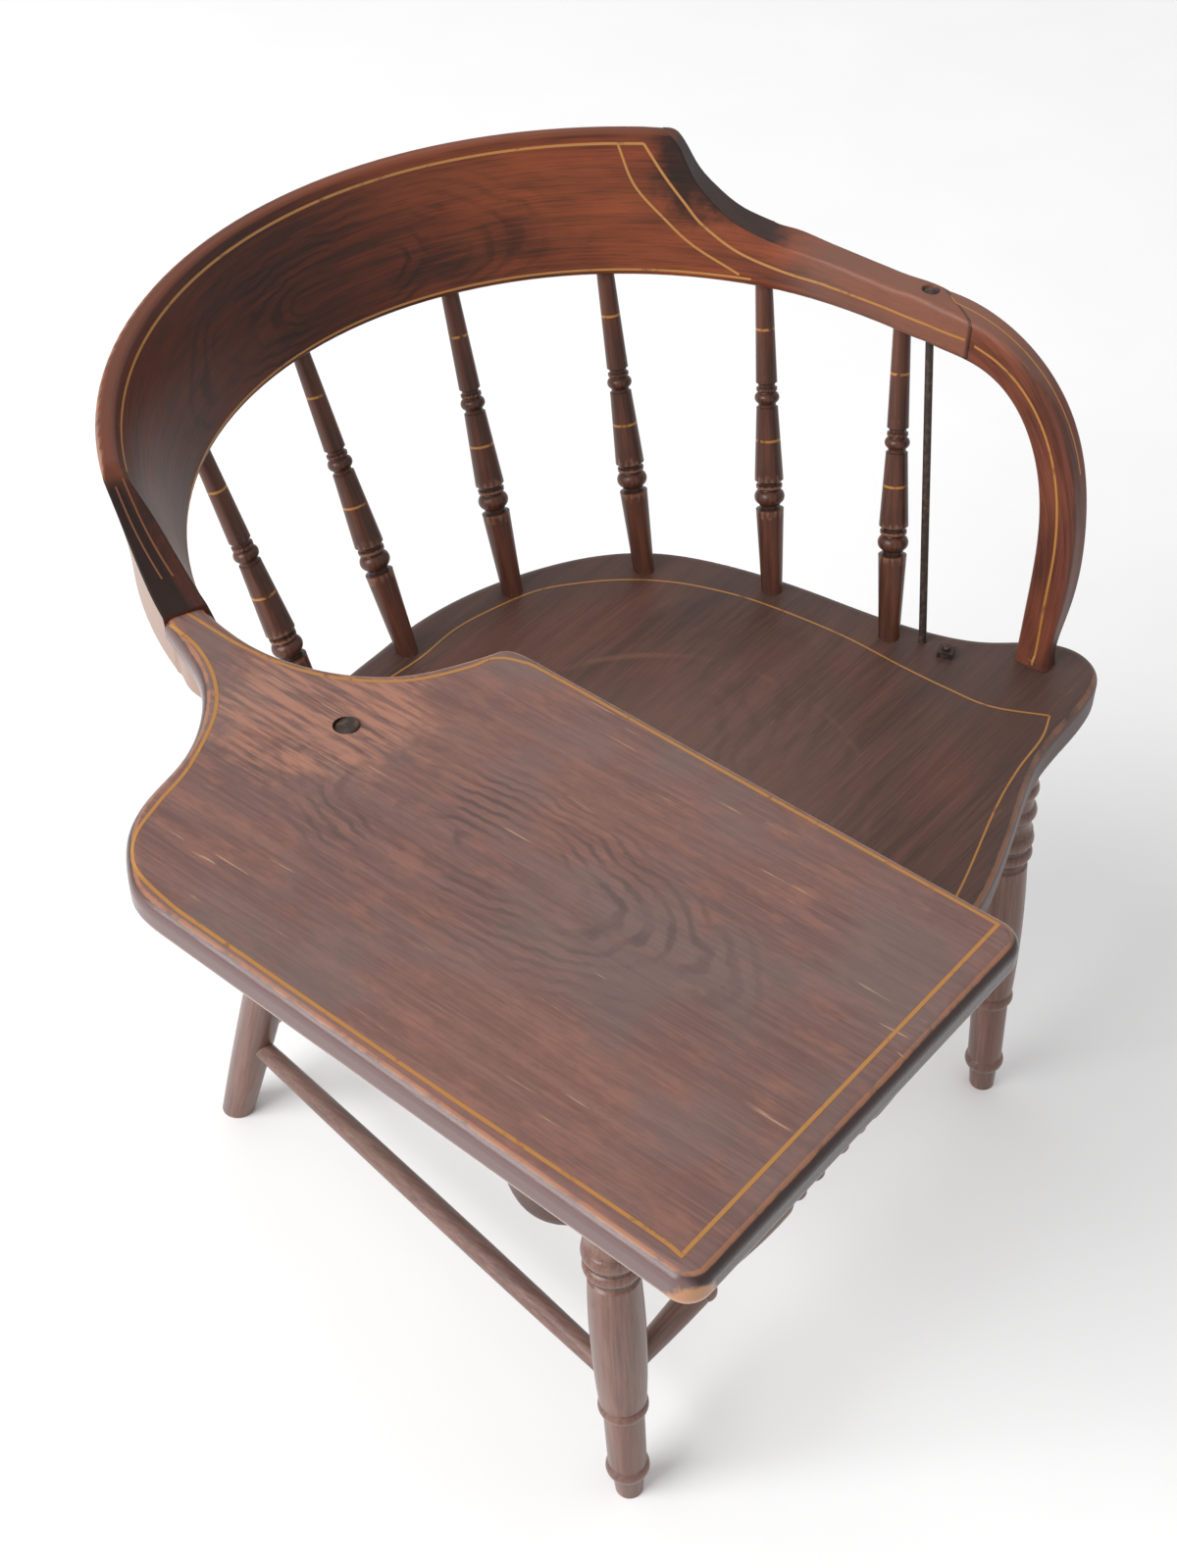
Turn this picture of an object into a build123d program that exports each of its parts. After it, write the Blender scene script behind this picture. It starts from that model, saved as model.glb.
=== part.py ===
"""Writing-arm Windsor chair, built as the real one is: turned legs, stretchers and
spindles socketed into a plank seat, a bent back rail with a raised crest, two bent
arm bows scarfed to the rail, a writing tablet let onto the right arm and iron tie rods.

Chair frame while building: +Z up, the sitter faces -Y, the sitter's left hand is +X.
The finished pieces are shifted so that the origin is under the middle of the whole
chair, on the floor. Lengths are millimetres, angles are degrees.
"""
import os
from math import atan2, cos, degrees, hypot, radians, sin

from build123d import *

# ---------------------------------------------------------------- driving dimensions
SEAT_TOP = 425.0            # top of the plank above the floor
SEAT_THICK = 38.0
SEAT_HALF = 332.0           # half the width across the front corners
SEAT_DEEP = 507.0           # from the back edge to the front edge
SEAT_BACK_Y = 178.0         # place of the back edge
RAIL_UNDER = 659.0          # underside of the back rail and the arms
ARM_DEEP = 33.0             # height of the arm section
CREST_RISE = 66.0           # how far the crest stands above the arms
RING_Y = -58.0              # centre of the half-round of the back rail
RAIL_IN = 294.0             # inner radius of the rail at its underside
RAIL_WIDE = 36.0            # radial width of the rail at its underside
CREST_LEAN = 36.0           # how far the inner face leans back from underside to top
CREST_WIDE = 12.5           # thickness of the crest at its top
ARM_WIDE = 26.5             # width of the straight arms
BOW_WIDE = 22.0             # width of the bows once they have turned down
BOW_THICK = 30.0            # their thickness from front to back there
TABLET_THICK = 23.5
TABLET_LAP = 11.0           # depth of the lap between tablet and right arm
TABLET_PROUD = 3.0          # how far the tablet's top stands above the arms
FIT = 0.15                  # clearance around every tenon, rod and screw
FACE_GAP = 0.05             # gap between flat faces that only rest on each other
END_GAP = 0.6               # space left at the blind end of a bore
RUN_ON = 6.0                # how far a stick or a tool runs past where it is cut off
FAR = 500.0                 # reach of a tool that has to pass right through a piece

# ---------------------------------------------------------------- derived places
SEAT_UNDER = SEAT_TOP - SEAT_THICK
ARM_TOP = RAIL_UNDER + ARM_DEEP
CREST_TOP = ARM_TOP + CREST_RISE
TABLET_TOP = ARM_TOP + TABLET_PROUD
TABLET_UNDER = TABLET_TOP - TABLET_THICK
LAP_TOP = TABLET_UNDER + TABLET_LAP
RAIL_OUT = RAIL_IN + RAIL_WIDE
RAIL_MID = RAIL_IN + RAIL_WIDE / 2
ARM_MID_X = RAIL_IN + 11.0  # centre line of the straight arms
ARM_IN_X = ARM_MID_X - ARM_WIDE / 2
ARM_OUT_X = ARM_MID_X + ARM_WIDE / 2


# ---------------------------------------------------------------- general helpers
def mirrored(shape):
    """The same shape on the other side of the chair's middle plane."""
    return mirror(shape, about=Plane.YZ)


def both_sides(shape):
    """The shape and its mirror image, as a list."""
    return [shape, mirrored(shape)]


def on_seat(across, back, height=0.0):
    """Point given as shares of the seat's half width and of its depth from the back."""
    return (SEAT_HALF * across, SEAT_BACK_Y - SEAT_DEEP * back, height)


def point_on(foot, top, height):
    """Point at one height on the straight line through foot and top."""
    share = (height - foot[2]) / (top[2] - foot[2])
    return tuple(a + (b - a) * share for a, b in zip(foot, top))


def past(start, end, reach):
    """Point on the line from start through end, beyond the end by reach."""
    run = Vector(*end) - Vector(*start)
    return tuple(Vector(*end) + run.normalized() * reach)


def along(start, end):
    """Plane at start whose normal runs towards end."""
    return Plane(origin=start, z_dir=Vector(*end) - Vector(*start))


def rod_between(start, end, radius):
    """Plain cylinder from start to end."""
    length = (Vector(*end) - Vector(*start)).length
    return along(start, end) * Cylinder(radius, length, align=(Align.CENTER, Align.CENTER, Align.MIN))


def tenon(start, end, radius, deep, lead=RUN_ON):
    """Round tenon past the end of the line from start, rooted lead before that end."""
    return rod_between(past(start, end, -lead), past(start, end, deep), radius)


def bore(start, end, radius, deep, lead=2 * RUN_ON):
    """Tool for the blind hole that takes such a tenon."""
    return tenon(start, end, radius + FIT, deep + END_GAP, lead)


def above(height):
    """Tool that covers everything above one height."""
    return Pos(0, 0, height) * Box(4 * FAR, 4 * FAR, 4 * FAR, align=(Align.CENTER, Align.CENTER, Align.MIN))


def cut(body, tools):
    """Body with every tool taken out of it, one after the other."""
    for tool in tools:
        body = body - tool
    return body


def ease(share):
    """Share from 0 to 1 with a soft start and end."""
    share = min(max(share, 0.0), 1.0)
    return share * share * (3 - 2 * share)


def turned(stations):
    """Solid turned about Z. A station is (height, radius) after a straight cut, or
    (height, radius, bulge) after a round one whose middle stands out by bulge."""
    height, radius = stations[0]
    first_height = height
    edges = [Line((0, height), (radius, height))]
    for station in stations[1:]:
        new_height, new_radius = station[:2]
        if len(station) == 3:
            middle = ((radius + new_radius) / 2 + station[2], (height + new_height) / 2)
            edges.append(ThreePointArc((radius, height), middle, (new_radius, new_height)))
        else:
            edges.append(Line((radius, height), (new_radius, new_height)))
        height, radius = new_height, new_radius
    edges.append(Line((radius, height), (0, height)))
    edges.append(Line((0, height), (0, first_height)))
    return revolve(Plane.XZ * make_face(edges), Axis.Z)


def stick(foot, top, shape):
    """Turned stick from foot to top, running on past both so that it can be cut off.
    The shape is a list of stations whose heights are shares of the stick's length."""
    length = (Vector(*top) - Vector(*foot)).length
    stations = [(share * length, *rest) for share, *rest in shape]
    first = (-RUN_ON, shape[0][1])
    last = (length + RUN_ON, shape[-1][1])
    return along(foot, top) * turned([first, *stations, last])


def ring_point(angle, radius, height=0.0):
    """Point of the half-round rail; 0 is the middle of the back, +90 the left arm."""
    turn = radians(angle)
    return (radius * sin(turn), RING_Y + radius * cos(turn), height)


def ring_plane(angle):
    """Radial plane of the rail: X outwards, Y up, normal towards the left arm."""
    turn = radians(angle)
    return Plane(
        origin=(0, RING_Y, 0),
        x_dir=(sin(turn), cos(turn), 0),
        z_dir=(cos(turn), -sin(turn), 0),
    )


# ---------------------------------------------------------------- seat plank
# left half of the outline from the back to the front, as shares for on_seat
SEAT_OUTLINE = [
    (0.0, -0.002), (0.217, 0.007), (0.433, 0.053), (0.572, 0.106), (0.678, 0.179),
    (0.732, 0.252), (0.768, 0.333), (0.795, 0.432), (0.813, 0.529), (0.84, 0.617),
    (0.895, 0.702), (0.976, 0.769), (1.0, 0.828), (0.964, 0.872), (0.892, 0.89),
    (0.735, 0.897), (0.611, 0.905), (0.464, 0.933), (0.301, 0.968), (0.151, 0.992),
    (0.0, 1.0),
]
SEAT_TOP_ROUND = 9.0
SEAT_UNDER_ROUND = 11.0
DISH_DEPTH = 5.0
DISH_REACH = 150.0          # radius of the hollow where it runs out in the top
DISH_BACK = 0.519           # middle of the hollow, as a share for on_seat


def seat_blank():
    """Plank without bores, its edges rolled and its middle hollowed."""
    left = [on_seat(*share)[:2] for share in SEAT_OUTLINE]
    right = [(-x, y) for x, y in reversed(left[1:-1])]
    outline = Spline(left + right, periodic=True)
    plank = extrude(Plane.XY.offset(SEAT_UNDER) * make_face(outline), SEAT_THICK)
    upper = plank.faces().sort_by(Axis.Z)[-1].edges()
    plank = fillet(upper, SEAT_TOP_ROUND)
    lower = plank.faces().sort_by(Axis.Z)[0].edges()
    plank = fillet(lower, SEAT_UNDER_ROUND)
    ball = (DISH_REACH ** 2 + DISH_DEPTH ** 2) / (2 * DISH_DEPTH)
    middle = on_seat(0, DISH_BACK, SEAT_TOP - DISH_DEPTH + ball)
    return plank - Pos(*middle) * Sphere(ball)


# ---------------------------------------------------------------- back rail
ARM_START = 70.0            # ring angle where the arm starts to leave the round rail
INNER_RUN = 20.0            # angle over which the arm's inner face grows upright
OUTER_RUN = 8.0             # angle over which its outer face grows straight
ARM_STEP = 2.5              # angle between the sections that lay out the arm
OGEE_MIDDLE = 65.2          # ring angle the cut of the crest's end is laid out about
OGEE_REACH = 60.0           # half the length of that cut
OGEE_BEFORE = 72.0          # how far before its middle the tool enters the crest
OGEE_ABOVE = 0.5            # height of the tool's way in above the crest
# upper part of the cut's hollow curve, as shares of its half length and of the crest's
# rise; its lower part runs out in a parabola
OGEE_CURVE = [(-0.883, 0.965), (-0.738, 0.833), (-0.558, 0.59), (-0.278, 0.348), (0.077, 0.145)]
OGEE_RUN_OUT = [0.35, 0.55, 0.8]
OGEE_END = 0.16             # the parabola's rise, carried back to the middle of the cut
CREST_ROUND = 4.0           # easing of the crest's top edges
SECTION_ROUND = 4.0         # easing of the other edges of rail, arms and bows
TOP_EDGE_ROUND = 0.8        # easing of the arm's top edges where the crest runs out
LAP_ANGLE = -68.5           # ring angle where the tablet's neck butts on the rail


def inner_radius(height):
    """Radius of the leaning inner face of the rail at one height."""
    share = (height - RAIL_UNDER) / (CREST_TOP - RAIL_UNDER)
    return RAIL_IN + CREST_LEAN * (share + share ** 2) / 2


def outer_radius(height):
    """Radius of the leaning outer face of the rail at one height."""
    share = (height - RAIL_UNDER) / (CREST_TOP - RAIL_UNDER)
    top_radius = RAIL_IN + CREST_LEAN + CREST_WIDE
    return RAIL_OUT + (top_radius - RAIL_OUT) * share ** 2


def eased(face, low_round, top_round):
    """Upright face with its two lower and its two upper corners rounded."""
    face = fillet(face.vertices().sort_by(Axis.Y)[:2], low_round)
    return fillet(face.vertices().sort_by(Axis.Y)[-2:], top_round)


def crest_profile():
    """Section of the rail with its raised crest, radius across and height up."""
    middle = (CREST_TOP + RAIL_UNDER) / 2
    low_in, low_out = (inner_radius(RAIL_UNDER), RAIL_UNDER), (outer_radius(RAIL_UNDER), RAIL_UNDER)
    top_in, top_out = (inner_radius(CREST_TOP), CREST_TOP), (outer_radius(CREST_TOP), CREST_TOP)
    inner_face = ThreePointArc(low_in, (inner_radius(middle), middle), top_in)
    outer_face = ThreePointArc(top_out, (outer_radius(middle), middle), low_out)
    face = make_face([inner_face, Line(top_in, top_out), outer_face, Line(low_out, low_in)])
    return eased(face, SECTION_ROUND, CREST_ROUND)


def ogee_end_rise(share):
    """Rise of the cut's lower part above the arm, as a share of the crest's rise."""
    return OGEE_END * max(1 - share, 0.0) ** 2


def ogee_cutter():
    """Tool that sweeps the end of the crest down in a hollow curve to the left arm."""
    start = (-OGEE_BEFORE, CREST_TOP + OGEE_ABOVE)
    shares = OGEE_CURVE + [(share, ogee_end_rise(share)) for share in OGEE_RUN_OUT]
    way = [(OGEE_REACH * share, ARM_TOP + CREST_RISE * rise) for share, rise in shares]
    curve = Spline(start, *way, (OGEE_REACH, ARM_TOP), tangents=((1, -0.05), (1, 0)))
    high = CREST_TOP + CREST_RISE
    rim = Polyline((OGEE_REACH, ARM_TOP), (OGEE_REACH, high), (-OGEE_BEFORE, high), start)
    clear = 70.0
    turn = radians(OGEE_MIDDLE)
    plane = Plane(
        origin=ring_point(OGEE_MIDDLE, RAIL_OUT + clear),
        x_dir=(cos(turn), -sin(turn), 0),
        z_dir=(-sin(turn), -cos(turn), 0),
    )
    return extrude(plane * make_face([curve, rim]), 2 * clear)


def rail_section(angle):
    """Section of the left arm, from the rail's own section at ARM_START to the plain arm."""
    upright = ease((angle - ARM_START) / INNER_RUN)
    straight = ease((angle - ARM_START) / OUTER_RUN)
    arm_outer = ARM_OUT_X / sin(radians(angle))
    least_bulge = 0.05      # keeps the inner face an arc where it stands upright

    def inner(height):
        return inner_radius(height) + (ARM_IN_X - inner_radius(height)) * upright

    def outer(height):
        return outer_radius(height) + (arm_outer - outer_radius(height)) * straight

    def top(radius):
        share = radius * sin(radians(angle - OGEE_MIDDLE)) / OGEE_REACH
        return ARM_TOP + CREST_RISE * ogee_end_rise(share)

    top_in_z, top_out_z = top(inner(ARM_TOP)), top(outer(ARM_TOP))
    middle = (RAIL_UNDER + top_in_z) / 2
    low_in, top_in = (inner(RAIL_UNDER), RAIL_UNDER), (inner(top_in_z), top_in_z)
    low_out, top_out = (outer(RAIL_UNDER), RAIL_UNDER), (outer(top_out_z), top_out_z)
    inner_face = ThreePointArc(low_in, (inner(middle) - least_bulge, middle), top_in)
    face = make_face([inner_face, Polyline(top_in, top_out, low_out, low_in)])
    top_round = TOP_EDGE_ROUND + (SECTION_ROUND - TOP_EDGE_ROUND) * upright
    return ring_plane(angle) * eased(face, SECTION_ROUND, top_round)


def back_rail_blank(arm_run):
    """Rail with its crest and both arms as far as the scarfs, without bores."""
    crest = revolve(Plane.XZ * crest_profile(), Axis.Z, 2 * ARM_START)
    crest = Pos(0, RING_Y, 0) * Rot(0, 0, 90 - ARM_START) * crest
    return cut(crest, both_sides(ogee_cutter())) + both_sides(arm_run - scarf_side(True))


def lap_cutter():
    """Tool that planes the right arm down where the tablet is let on to it."""
    tool = Pos(RAIL_IN - FAR / 4, LAP_TOP - FACE_GAP, 0) * Box(FAR, FAR, FAR, align=Align.MIN)
    return mirrored(ring_plane(-LAP_ANGLE) * tool)


# ---------------------------------------------------------------- arm bows
BOW_CENTRE_Y = RING_Y - 37.0    # the bow is a quarter of a full oval about this line
BOW_CENTRE_Z = SEAT_TOP + 67.0
BOW_REACH = 128.0
BOW_RISE = (RAIL_UNDER + ARM_TOP) / 2 - BOW_CENTRE_Z
BOW_FULL = 0.79                 # 1 is an ellipse, less is a fuller oval
BOW_TAPER = 30.0                # turn over which the arm's section becomes the bow's
BOW_STEPS = 7                   # sections that lay out the quarter oval
BOW_SINK = 6.0                  # how far the bow runs on into the seat before it is cut
POST_FOOT = (RAIL_IN + 3.0, BOW_CENTRE_Y - BOW_REACH, SEAT_TOP)
POST_RADIUS = 9.5
POST_DEEP = 24.0
SCARF_OUTER = (ARM_OUT_X, RING_Y - 29.0)
SCARF_INNER = (ARM_IN_X, RING_Y - 70.0)


def bow_section(y, z, dip, narrowed):
    """Section of the left bow with its middle at y, z; dip 90 points straight down and
    narrowed grows from 0 for the arm's section to 1 for the bow's own."""
    lean = ((ARM_TOP - z) / (ARM_TOP - SEAT_TOP)) ** 2
    x = ARM_MID_X + (POST_FOOT[0] - ARM_MID_X) * lean
    turn = radians(dip)
    plane = Plane(origin=(x, y, z), x_dir=(1, 0, 0), z_dir=(0, -cos(turn), -sin(turn)))
    wide = ARM_WIDE + (BOW_WIDE - ARM_WIDE) * narrowed
    deep = ARM_DEEP + (BOW_THICK - ARM_DEEP) * narrowed
    return plane * eased(Rectangle(wide, deep).face(), SECTION_ROUND, SECTION_ROUND)


def oval_section(turn):
    """Section of the left bow on the quarter oval, turn 0 at its start and 90 at its end."""
    ahead, down = sin(radians(turn)), cos(radians(turn))
    y = BOW_CENTRE_Y - BOW_REACH * ahead ** BOW_FULL
    z = BOW_CENTRE_Z + BOW_RISE * down ** BOW_FULL
    dip = atan2(BOW_RISE * ahead ** (2 - BOW_FULL), BOW_REACH * down ** (2 - BOW_FULL))
    return bow_section(y, z, degrees(dip), ease(turn / BOW_TAPER))


def left_arm_run():
    """Left arm and bow in one length, from the end of the crest down into the seat."""
    steps = round((90.0 - ARM_START) / ARM_STEP)
    arm_sections = [rail_section(ARM_START + ARM_STEP * step) for step in range(steps + 1)]
    bow_sections = [oval_section(90.0 * step / (BOW_STEPS - 1)) for step in range(BOW_STEPS)]
    foot_section = bow_section(POST_FOOT[1], SEAT_TOP - BOW_SINK, 90.0, 1.0)
    return loft([*arm_sections, bow_sections[0]]) + loft([*bow_sections, foot_section])


def scarf_side(forward):
    """Tool that covers everything in front of the left scarf, or everything behind."""
    run = Vector(SCARF_INNER[0] - SCARF_OUTER[0], SCARF_INNER[1] - SCARF_OUTER[1], 0)
    normal = Vector(-run.Y, run.X, 0).normalized()
    if not forward:
        normal = -normal
    start = Vector(*SCARF_OUTER, RAIL_UNDER) - normal * FACE_GAP / 2
    plane = Plane(origin=start, x_dir=run, z_dir=normal)
    return plane * Box(FAR, 4 * FAR, FAR, align=(Align.CENTER, Align.CENTER, Align.MIN))


def post_tenon_line():
    """Upper and lower end of the line that the bow's tenon follows."""
    return (*POST_FOOT[:2], SEAT_TOP + SEAT_THICK), POST_FOOT


def arm_bow(arm_run):
    """Left bow from the scarf down to the seat, with its tenon."""
    bow = (arm_run - scarf_side(False)) & above(SEAT_TOP + FACE_GAP)
    return bow + tenon(*post_tenon_line(), POST_RADIUS, POST_DEEP)


# ---------------------------------------------------------------- writing tablet
# places on the tablet are measured from the middle of the right arm at RING_Y,
# x towards the sitter and y towards the back
TABLET_ROUND = 8.0
TABLET_INNER_BACK = (112.0, -72.0)      # ends of the straight inner edge
TABLET_INNER_FRONT = (103.0, -408.5)    # front corner on the sitter's side
TABLET_OUTER_FRONT = (-186.0, -404.0)   # front corner on the far side
TABLET_OUTER_BACK = (-172.5, -50.0)
TABLET_INNER_CORNER = 16.0
TABLET_OUTER_CORNER = 14.0
NECK_INNER_WAY = [(19, 93), (17, 66), (23, 31), (35, 4), (55, -20), (83, -37), (98, -44)]
NECK_OUTER_WAY = [(-14, 94), (-28, 67), (-49, 46), (-83, 28), (-114, 21), (-141, 8), (-161.5, -14)]
LAP_SIDE = 8.0              # room beside the arm in the tablet's lap


def on_tablet(place):
    """Plan position of a place on the tablet."""
    return (place[0] - ARM_MID_X, place[1] + RING_Y)


def tablet_face():
    """Outline of the board with its curved neck, closed across the butt on the rail."""
    neck_in = ring_point(LAP_ANGLE, inner_radius(TABLET_TOP))[:2]
    neck_out = ring_point(LAP_ANGLE, outer_radius(TABLET_TOP))[:2]
    inner_back, inner_front = on_tablet(TABLET_INNER_BACK), on_tablet(TABLET_INNER_FRONT)
    outer_back, outer_front = on_tablet(TABLET_OUTER_BACK), on_tablet(TABLET_OUTER_FRONT)
    lap_turn = radians(LAP_ANGLE)
    onto_arm = (-cos(lap_turn), sin(lap_turn))
    inner_run = (inner_front[0] - inner_back[0], inner_front[1] - inner_back[1])
    outer_run = (outer_front[0] - outer_back[0], outer_front[1] - outer_back[1])
    inner_way = [on_tablet(place) for place in NECK_INNER_WAY]
    outer_way = [on_tablet(place) for place in NECK_OUTER_WAY]
    face = make_face([
        Spline(neck_in, *inner_way, inner_back, tangents=(onto_arm, inner_run)),
        Line(inner_back, inner_front),
        Line(inner_front, outer_front),
        Line(outer_front, outer_back),
        Spline(neck_out, *outer_way, outer_back, tangents=(onto_arm, outer_run)),
        Line(neck_out, neck_in),
    ])
    for corner, radius in ((inner_front, TABLET_INNER_CORNER), (outer_front, TABLET_OUTER_CORNER)):
        face = fillet(face.vertices().sort_by_distance((*corner, 0))[0], radius)
    return face


def lap_front():
    """How far the lap runs forward of RING_Y, to where the bow is below the tablet."""
    height_share = (TABLET_UNDER - BOW_CENTRE_Z) / (BOW_RISE + ARM_DEEP / 2)
    reach_share = (1 - height_share ** (2 / BOW_FULL)) ** (BOW_FULL / 2)
    return RING_Y - BOW_CENTRE_Y + (BOW_REACH + ARM_DEEP / 2) * reach_share + LAP_SIDE


def tablet_lap():
    """Tool that clears the underside of the tablet over the whole width of the arm."""
    overlap = 5.0
    run_long = lap_front() + overlap
    run = Box(ARM_WIDE + 2 * LAP_SIDE, run_long, TABLET_LAP)
    run = Pos(ARM_MID_X, RING_Y + overlap - run_long / 2, 0) * run
    outer = outer_radius(LAP_TOP) + LAP_SIDE
    ring = Cylinder(outer, TABLET_LAP) - Cylinder(RAIL_IN - LAP_SIDE, TABLET_LAP)
    quarter = Pos(FAR / 2, FAR / 2, 0) * Box(FAR, FAR, TABLET_LAP)
    ring = Pos(0, RING_Y, 0) * (ring & quarter)
    return mirrored(Pos(0, 0, TABLET_UNDER + TABLET_LAP / 2) * (ring + run))


def tablet_blank():
    """Tablet with eased edges and the lap for the arm, without bores."""
    board = extrude(Plane.XY.offset(TABLET_UNDER) * tablet_face(), TABLET_THICK)
    butt = ring_point(LAP_ANGLE, RAIL_MID)
    levels = board.faces().sort_by(Axis.Z)
    rims = levels[0].edges() + levels[-1].edges()
    free = [edge for edge in rims if hypot(edge.center().X - butt[0], edge.center().Y - butt[1]) > RAIL_WIDE]
    return fillet(free, TABLET_ROUND) - tablet_lap()


# ---------------------------------------------------------------- spindles
SPINDLE_FEET = [(0.0, 0.039), (0.325, 0.069), (0.593, 0.193), (0.726, 0.379), (0.756, 0.584)]
SPINDLE_ANGLES = [0.0, 25.0, 47.5, 70.0, 91.5]
# stations from the seat to the rail: foot cone, bead group, cone, bead group, cone
SPINDLE_SHAPE = [
    (0.0, 8.2), (0.272, 10.9),
    (0.275, 8.0), (0.287, 8.0), (0.29, 8.6), (0.335, 8.6, 3.2),
    (0.338, 8.2), (0.343, 10.2), (0.352, 10.2), (0.355, 8.5), (0.364, 8.5),
    (0.368, 11.2), (0.602, 8.3),
    (0.605, 6.8), (0.613, 6.8), (0.616, 7.0), (0.649, 7.0, 2.5),
    (0.652, 6.8), (0.656, 8.0), (0.664, 8.0), (0.667, 6.5), (0.677, 6.5),
    (0.681, 8.2), (1.0, 6.5),
]
SPINDLE_RING = RAIL_IN + 15.0    # radius of the ring the spindle tops stand on
SPINDLE_FOOT_RADIUS = 5.5
SPINDLE_FOOT_DEEP = 24.0
SPINDLE_TOP_RADIUS = 5.0
SPINDLE_TOP_DEEP = 18.0


def spindle_ends(number):
    """Foot and top of one spindle of the left half; number 0 is the middle one."""
    foot = on_seat(*SPINDLE_FEET[number], SEAT_TOP)
    angle = SPINDLE_ANGLES[number]
    radius = SPINDLE_RING if angle < 90 else ARM_MID_X
    return foot, ring_point(angle, radius, RAIL_UNDER)


def spindle(number, rail):
    """One spindle with its two tenons, its top shouldered against the rail."""
    foot, top = spindle_ends(number)
    body = (stick(foot, top, SPINDLE_SHAPE) & above(SEAT_TOP + FACE_GAP)) - rail
    foot_tenon = tenon(top, foot, SPINDLE_FOOT_RADIUS, SPINDLE_FOOT_DEEP)
    top_tenon = tenon(foot, top, SPINDLE_TOP_RADIUS, SPINDLE_TOP_DEEP)
    return body + foot_tenon + top_tenon


def spindle_bores():
    """Tools for the holes of all spindles, first those in the seat, then in the rail."""
    in_seat, in_rail = [], []
    for number in range(len(SPINDLE_FEET)):
        foot, top = spindle_ends(number)
        foot_bore = bore(top, foot, SPINDLE_FOOT_RADIUS, SPINDLE_FOOT_DEEP)
        top_bore = bore(foot, top, SPINDLE_TOP_RADIUS, SPINDLE_TOP_DEEP)
        in_seat += both_sides(foot_bore) if number else [foot_bore]
        in_rail += both_sides(top_bore) if number else [top_bore]
    return in_seat, in_rail


# ---------------------------------------------------------------- legs
FRONT_LEG = (on_seat(0.759, 0.876, 0.0), on_seat(0.774, 0.817, SEAT_UNDER))
REAR_LEG = (on_seat(0.53, -0.075, 0.0), on_seat(0.446, 0.103, SEAT_UNDER))
# stations from the floor up: tapered foot, ring, ankle, ring, swell, groove,
# two beads, hollow, bead, neck, bead and the cone under the seat
FRONT_LEG_SHAPE = [
    (0.0, 10.5), (0.057, 12.0), (0.062, 14.4), (0.093, 14.4, 2.1), (0.098, 14.5), (0.258, 15.2),
    (0.264, 16.6), (0.29, 16.6, 2.0), (0.296, 17.5), (0.659, 18.5, 2.0),
    (0.664, 16.6), (0.677, 16.6), (0.682, 18.4), (0.708, 18.4, 2.9), (0.716, 18.4), (0.751, 18.4, 3.1),
    (0.756, 20.0), (0.788, 18.6, -1.8), (0.791, 18.5), (0.822, 18.5, 3.0), (0.827, 18.4), (0.848, 18.4),
    (0.851, 18.6), (0.879, 18.6, 2.9), (0.885, 19.8), (1.0, 17.0),
]
REAR_LEG_SHAPE = [(0.0, 13.5), (1.0, 15.5, 3.0)]
LEG_TENON_RADIUS = 12.0
LEG_TENON_DEEP = 26.0


def leg_blank(ends, shape):
    """Leg without its stretcher bores, cut level at the floor and under the seat."""
    body = stick(*ends, shape) & above(0)
    body = body - above(SEAT_UNDER - FACE_GAP)
    return body + tenon(*ends, LEG_TENON_RADIUS, LEG_TENON_DEEP)


def leg_bores():
    """Tools for the four leg holes in the seat."""
    tools = [bore(*ends, LEG_TENON_RADIUS, LEG_TENON_DEEP) for ends in (FRONT_LEG, REAR_LEG)]
    return both_sides(tools[0]) + both_sides(tools[1])


# ---------------------------------------------------------------- stretchers
SIDE_AT_FRONT = 133.0       # height of the side stretchers' line at the front legs
SIDE_AT_REAR = 96.0
FRONT_STRETCHER_HIGH = 140.0
REAR_STRETCHER_HIGH = 112.0
SIDE_SHAPE = [(0.0, 8.0), (1.0, 8.0, 1.6)]
REAR_SHAPE = [(0.0, 8.0), (1.0, 8.0, 1.8)]
# left half from the middle outwards: hollow, bead, hollow, bead, neck, vase, bead
# and plain end
FRONT_HALF_SHAPE = [
    (0.0, 8.8), (0.04, 9.6, -0.5), (0.044, 9.6), (0.088, 9.6, 2.8),
    (0.094, 9.4), (0.134, 9.4, -0.8), (0.14, 9.4), (0.182, 9.4, 2.8), (0.19, 8.2), (0.2, 8.4),
    (0.245, 12.4, 1.2), (0.42, 10.4, 0.6), (0.58, 7.4, -0.4),
    (0.598, 9.6), (0.644, 9.6, 3.2), (0.65, 11.2), (0.92, 8.2, 0.4), (1.0, 8.0),
]
STRETCHER_TENON = 6.5
TENON_SHORT = 8.0           # how far before the leg's axis a stretcher's tenon ends
LEG_CLEAR = 26.0            # from a leg's axis to well outside its surface


def side_ends():
    """Points on the axes of the left legs that the side stretcher runs between."""
    return point_on(*FRONT_LEG, SIDE_AT_FRONT), point_on(*REAR_LEG, SIDE_AT_REAR)


def cross_ends(ends, height):
    """Points on the axes of a pair of legs, right and left, at one height."""
    x, y, z = point_on(*ends, height)
    return (-x, y, z), (x, y, z)


def with_tenons(body, start, end):
    """Stretcher body with a tenon into the leg at each end."""
    for a, b in ((start, end), (end, start)):
        body = body + tenon(a, b, STRETCHER_TENON, -TENON_SHORT, LEG_CLEAR)
    return body


def stretcher_bores(start, end):
    """Tools for the two holes that take a stretcher."""
    return [bore(a, b, STRETCHER_TENON, -TENON_SHORT, LEG_CLEAR) for a, b in ((start, end), (end, start))]


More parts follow.
